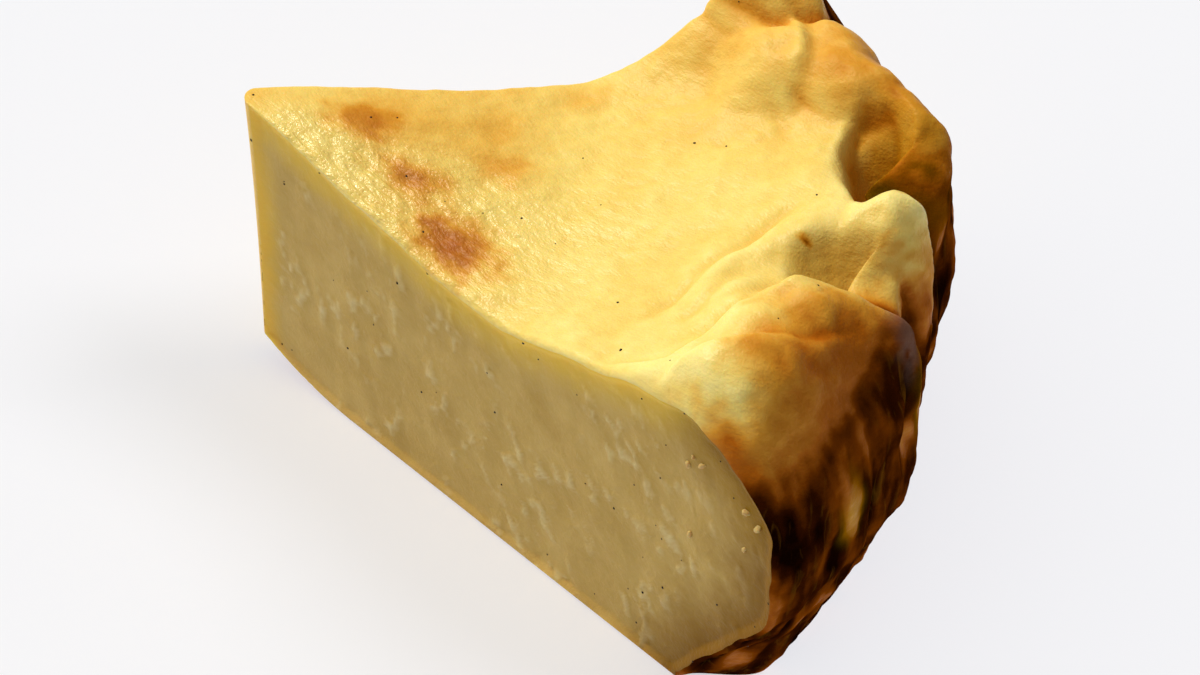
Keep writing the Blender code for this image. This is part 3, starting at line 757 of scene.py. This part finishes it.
def makeBakedSkin():
    # cheesecake skin browned in a hot oven: yellow where pale, caramel to burnt at the paper, and a
    # greasy gloss on top
    skin, shader = newMaterial("browned cheesecake skin", IOR=1.45,
                               Subsurface_Weight=0.2, Subsurface_Scale=0.003)
    shader.inputs["Subsurface Radius"].default_value = (1.0, 0.55, 0.2)
    links = skin.node_tree.links
    place = addNode(skin, "TexCoord")
    brownAndShade, oliveAndShade, ash, shine = (addNode(skin, "Attribute", attribute_name=name)
                                for name in ("brownAndShade", "oliveAndShade", "ash", "shine"))

    # blotches of about 2 mm
    blotch = addNode(skin, "TexNoise", [("Vector", place, "Object")], Scale=420.0, Detail=5.0, Roughness=0.65)
    fleck = addNode(skin, "Math", [(0, blotch, "Fac")], operation="MULTIPLY_ADD", in1=0.14, in2=-0.07)
    level = addNode(skin, "Math", [(0, brownAndShade, "Fac"), (1, fleck, "Value")], operation="ADD")
    ramp = addNode(skin, "ValToRGB", [("Fac", level, "Value")])
    rampStops(ramp, brownColours)
    # olive over the brown: the skin's own olive, and painted shade in the valley, the pocket and the channel
    oliveAndShadeMix = addNode(skin, "Mix", [("Factor", oliveAndShade, "Fac"), ("A", ramp, "Color")],
                    data_type="RGBA", B=linear(oliveAndShadeColour))

    # paper left pale threads and grey ash on the burnt crust
    drawn = addNode(skin, "Mapping", [("Vector", place, "Object")],
                    Scale=(1.0, 1.0, 0.16), Rotation=(0.5, 0.2, 0.0))
    threads = addNode(skin, "TexNoise", [("Vector", drawn, "Vector")],
                      Scale=700.0, Detail=3.0, Distortion=0.6)
    thin = addNode(skin, "MapRange", [("Value", threads, "Fac")], From_Min=0.58, From_Max=0.74, To_Max=0.22)
    burnt = addNode(skin, "MapRange", [("Value", level, "Value")], From_Min=0.66, From_Max=0.84)
    onBurnt = addNode(skin, "Math", [(0, thin, "Result"), (1, burnt, "Result")], operation="MULTIPLY")
    threaded = addNode(skin, "Mix", [("Factor", onBurnt, "Value"), ("A", oliveAndShadeMix, "Result")],
                       data_type="RGBA", B=linear(threadColour))
    ashen = addNode(skin, "Mix", [("Factor", ash, "Fac"), ("A", threaded, "Result")],
                    data_type="RGBA", B=linear(ashColour))
    links.new(ashen.outputs["Result"], shader.inputs["Base Color"])

    # burnt skin is dry and dull, the top is greasy and gives back the light in points
    rough = addNode(skin, "MapRange", [("Value", level, "Value")],
                    From_Min=0.1, From_Max=0.9, To_Min=0.36, To_Max=0.72)
    sleek = addNode(skin, "Math", [(0, shine, "Fac"), (2, rough, "Result")],
                    operation="MULTIPLY_ADD", in1=-0.14)
    links.new(sleek.outputs["Value"], shader.inputs["Roughness"])
    gleam = addNode(skin, "MapRange", [("Value", level, "Value")],
                    From_Min=0.3, From_Max=0.7, To_Min=0.20, To_Max=0.0)
    wet = addNode(skin, "Math", [(0, shine, "Fac"), (2, gleam, "Result")],
                  operation="MULTIPLY_ADD", in1=0.5)
    links.new(wet.outputs["Value"], shader.inputs["Specular IOR Level"])

    # wrinkles of about 1 mm, drawn out along the near cut, and pores
    alongCut = addNode(skin, "Mapping", [("Vector", place, "Object")], vector_type="TEXTURE",
                       Rotation=(0.0, 0.0, -math.radians(sliceShape["halfAngle"])), Scale=(2.0, 1.0, 1.0))
    wrinkle = addNode(skin, "TexNoise", [("Vector", alongCut, "Vector")],
                      Scale=800.0, Detail=4.0, Roughness=0.6)
    pores = addNode(skin, "TexNoise", [("Vector", place, "Object")], Scale=2600.0, Detail=2.0)
    strength = addNode(skin, "Math", [(0, shine, "Fac")], operation="MULTIPLY_ADD", in1=0.6, in2=0.4)
    soft = addNode(skin, "Bump", [("Height", wrinkle, "Fac"), ("Strength", strength, "Value")],
                   Distance=0.0007)
    fine = addNode(skin, "Bump", [("Height", pores, "Fac"), ("Normal", soft, "Normal")],
                   Strength=0.35, Distance=0.0002)
    links.new(fine.outputs["Normal"], shader.inputs["Normal"])
    return skin


# the custard's two colours are darker than the custard is, as painted shade on the cut faces
custardAndShadeColours, curdColour = ("#b58f3a", "#e4c577"), "#e6d7a2"

# it cooked deeper yellow under the skin, a yellow that is also a painted glow of light through the skin, and
# at the tip, and amber behind the crust; reach in mm
custardBands = [
    # deeper yellow under the top skin, partly a painted glow of light coming through it
    dict(mark="underTop", reach=8.0, colour="#fad048", strength=0.98),
    dict(mark="besideTip", reach=5.0, colour="#f2c84c", strength=0.92),
    dict(mark="behindWall", reach=13.0, colour="#8a6000", strength=0.98),
]


def makeCutCustard():
    # baked cream cheese custard drawn through with a knife: smooth, moist and dense, with pale curd smears
    custard, shader = newMaterial("cut baked custard", IOR=1.45, Roughness=0.5, Subsurface_Weight=0.3,
                                  Subsurface_Scale=0.003, Specular_IOR_Level=0.14)
    shader.inputs["Subsurface Radius"].default_value = (1.0, 0.6, 0.25)
    links = custard.node_tree.links
    place = addNode(custard, "TexCoord")
    smear = addNode(custard, "Attribute", attribute_name="smear")

    # clouds of about 8 mm
    cloud = addNode(custard, "TexNoise", [("Vector", place, "Object")],
                    Scale=130.0, Detail=5.0, Roughness=0.62)
    # the custard's colour, with painted shade from its darkened colours
    base = addNode(custard, "Mix", [("Factor", cloud, "Fac")],
                   data_type="RGBA", A=linear(custardAndShadeColours[0]), B=linear(custardAndShadeColours[1]))
    curd = addNode(custard, "MapRange", [("Value", smear, "Fac")], From_Min=0.15, From_Max=0.9, To_Max=0.55)
    last = addNode(custard, "Mix", [("Factor", curd, "Result"), ("A", base, "Result")],
                   data_type="RGBA", B=linear(curdColour))
    wobble = addNode(custard, "Math", [(0, cloud, "Fac")], operation="MULTIPLY_ADD", in1=5.0, in2=-2.5)
    for band in custardBands:
        mark = addNode(custard, "Attribute", attribute_name=band["mark"])
        depth = addNode(custard, "Math", [(0, mark, "Fac"), (1, wobble, "Value")], operation="ADD")
        amount = addNode(custard, "MapRange", [("Value", depth, "Value")], interpolation_type="SMOOTHSTEP",
                         From_Min=-0.5, From_Max=band["reach"], To_Min=band["strength"], To_Max=0.0)
        last = addNode(custard, "Mix", [("Factor", amount, "Result"), ("A", last, "Result")],
                       data_type="RGBA", B=linear(band["colour"]))
    links.new(last.outputs["Result"], shader.inputs["Base Color"])
    grainy = addNode(custard, "TexNoise", [("Vector", place, "Object")],
                     Scale=1500.0, Detail=3.0, Roughness=0.6)
    fine = addNode(custard, "Bump", [("Height", grainy, "Fac")], Strength=0.35, Distance=0.0004)
    links.new(fine.outputs["Normal"], shader.inputs["Normal"])
    return custard


cake = makeSlice([makeBakedSkin(), makeCutCustard()])
print("slice modelled:", len(cake.data.polygons), "faces")
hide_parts("cheesecake_slice")
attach(cake, "root")
cakePieces = [cake]


# vanilla seeds in the custard, and crumbs that the knife left by the crust
# sizes in mm
vanilla = dict(
    seed=11, onNearCut=46, onFarCut=30, onTop=20,
    length=0.56, width=0.42, sunk=0.1, colour="#2a1c0e",
)
crumbs = dict(
    seed=4, smallest=0.5, largest=1.0, count=7, lump=0.14, colour="#cfb26c",
    low=(22.0, -48.0, 12.0), high=(36.0, -38.0, 44.0),      # where they lie, in mm
)


def facesOf(piece, wanted):
    # middles and normals of the faces that wanted accepts
    faces = [face for face in piece.data.polygons if wanted(face.center, face.normal)]
    return [(Vector(face.center), Vector(face.normal)) for face in faces]


def cutFaces(side):
    # the near cut at -1 and the far one at 1, clear of the base and the crust
    def onCut(middle, normal):
        return side * normal.y > 0.6 and middle.z > 3.0 * mm and middle.x < 38.0 * mm

    return facesOf(cake, onCut)


def emptyPiece(name, material):
    deselectAll()
    bpy.ops.object.add(type="MESH", location=(0.0, 0.0, 0.0))
    piece = bpy.context.object
    piece.name = name
    piece.data.materials.append(material)
    bpy.ops.object.mode_set(mode="EDIT")
    return piece


def addSeeds(v):
    draw = np.random.default_rng(v["seed"])
    top = facesOf(cake, lambda middle, normal: normal.z > 0.8 and middle.z > 40 * mm)
    black, shader = newMaterial("vanilla seeds", Roughness=0.5, Specular_IOR_Level=0.2)
    shader.inputs["Base Color"].default_value = linear(v["colour"])
    piece = emptyPiece("vanilla_seeds", black)
    for faces, count in ((cutFaces(-1), v["onNearCut"]), (cutFaces(1), v["onFarCut"]), (top, v["onTop"])):
        for pick in draw.integers(0, len(faces), count):
            middle, normal = faces[pick]
            place = middle - normal * v["sunk"] * mm
            size = v["length"] * (0.7 + 0.5 * draw.random())
            bpy.ops.mesh.primitive_ico_sphere_add(subdivisions=1, radius=0.5 * size * mm, location=place)
            narrow = v["width"] / v["length"]
            bpy.ops.transform.resize(value=(1.0, narrow, narrow), center_override=place)
            bpy.ops.transform.rotate(value=draw.random() * math.pi, orient_axis="Y", center_override=place)
            bpy.ops.transform.rotate(value=draw.random() * math.pi, orient_axis="Z", center_override=place)
    bpy.ops.object.mode_set(mode="OBJECT")
    bpy.ops.object.shade_smooth()
    return piece


def addCrumbs(c):
    draw = np.random.default_rng(c["seed"])
    low, high = Vector(c["low"]) * mm, Vector(c["high"]) * mm

    def byTheCrust(middle, normal):
        inside = all(a < b < d for a, b, d in zip(low, middle, high))
        return inside and normal.y < -0.3

    faces = facesOf(cake, byTheCrust)
    pale, shader = newMaterial("crumbs of custard", Roughness=0.6, IOR=1.45,
                               Subsurface_Weight=0.3, Subsurface_Scale=0.001)
    shader.inputs["Base Color"].default_value = linear(c["colour"])
    piece = emptyPiece("loose_crumbs", pale)
    for pick in draw.integers(0, len(faces), c["count"]):
        middle, normal = faces[pick]
        radius = 0.5 * (c["smallest"] + (c["largest"] - c["smallest"]) * draw.random() ** 2) * mm
        lifted = middle + normal * 0.3 * radius
        bpy.ops.mesh.primitive_ico_sphere_add(subdivisions=3, radius=radius, location=lifted)
        bpy.ops.transform.resize(value=(1.25, 0.9, 0.75), center_override=middle)
        bpy.ops.transform.rotate(value=draw.random() * math.pi, orient_axis="Y", center_override=middle)
    mesh = bmesh.from_edit_mesh(piece.data)
    mesh.normal_update()
    for vertex in mesh.verts:
        bump = noise.noise(vertex.co / (0.35 * mm)) + 0.5 * noise.noise(vertex.co / (0.16 * mm))
        vertex.co += vertex.normal * bump * c["lump"] * mm
    bmesh.update_edit_mesh(piece.data)
    bpy.ops.object.mode_set(mode="OBJECT")
    bpy.ops.object.shade_smooth()
    return piece


for piece in (addSeeds(vanilla), addCrumbs(crumbs)):
    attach(piece, "root")
    cakePieces.append(piece)
print("seeds and crumbs scattered")


# the floor, the lights and the camera

studio = dict(
    lens=81.0, place=(77.378, -257.015, 285.485), turn=16.3, tilt=45.0,    # mm and degrees
    floorSize=6.0, floorColour="#f4f5f7",
    worldColour="#f2ebdc", worldStrength=0.30,
)

# the key light falls on the cake alone, and the two suns on the floor alone, so its shade stays faint
# all of them look at the origin; places are in metres
lights = [
    dict(name="keyLight", kind="AREA", place=(-0.61, 0.24, 0.94), falls="cake", colour="#fff4e2",
         settings=dict(energy=12.7, shape="DISK", size=0.2)),
    dict(name="floorFill", kind="SUN", place=(0.0, 0.0, 1.0), falls="floor", colour="#f8f9fe",
         settings=dict(energy=2.05, use_shadow=False)),
    dict(name="floorShade", kind="SUN", place=(0.62, 0.12, 0.80), falls="floor", colour="#f7f9ff",
         settings=dict(energy=0.62, angle=math.radians(24.0))),
]


def addStudio():
    deselectAll()
    bpy.ops.mesh.primitive_plane_add(size=studio["floorSize"], location=(0.0, 0.0, 0.0))
    floor = bpy.context.object
    floor.name = "paleFloor"
    bpy.ops.object.transform_apply(location=True, rotation=True, scale=True)
    matt, shader = newMaterial("pale paper backdrop", Roughness=0.9)
    shader.inputs["Base Color"].default_value = linear(studio["floorColour"])
    floor.data.materials.append(matt)

    for light in lights:
        bpy.ops.object.light_add(type=light["kind"], location=light["place"])
        lamp = bpy.context.object
        lamp.name = light["name"]
        lamp.data.color = linear(light["colour"])[:3]
        for setting, value in light["settings"].items():
            setattr(lamp.data, setting, value)
        lamp.rotation_euler = Vector(light["place"]).to_track_quat("Z", "Y").to_euler()
        lit = bpy.data.collections.new("lit by " + light["name"])
        for piece in {"cake": cakePieces, "floor": [floor]}[light["falls"]]:
            lit.objects.link(piece)
        lamp.light_linking.receiver_collection = lit

    world = bpy.data.worlds.new("softWorld")
    world.use_nodes = True
    sky = world.node_tree.nodes["Background"]
    sky.inputs["Color"].default_value = linear(studio["worldColour"])
    sky.inputs["Strength"].default_value = studio["worldStrength"]
    bpy.context.scene.world = world

    turn, tilt = math.radians(studio["turn"]), math.radians(studio["tilt"])
    ahead = Vector((-math.sin(turn) * math.cos(tilt), math.cos(turn) * math.cos(tilt), -math.sin(tilt)))
    right = Vector((math.cos(turn), math.sin(turn), 0.0))
    upward = right.cross(ahead)
    bpy.ops.object.camera_add()
    camera = bpy.context.object
    camera.name = "photoCamera"
    camera.data.lens = studio["lens"]
    camera.data.sensor_width = 36.0
    pose = Matrix((right, upward, -ahead)).transposed().to_4x4()
    pose.translation = Vector(studio["place"]) * mm
    camera.matrix_world = pose
    bpy.context.scene.camera = camera
    bpy.context.scene.view_settings.view_transform = "Standard"


addStudio()
print("studio set")
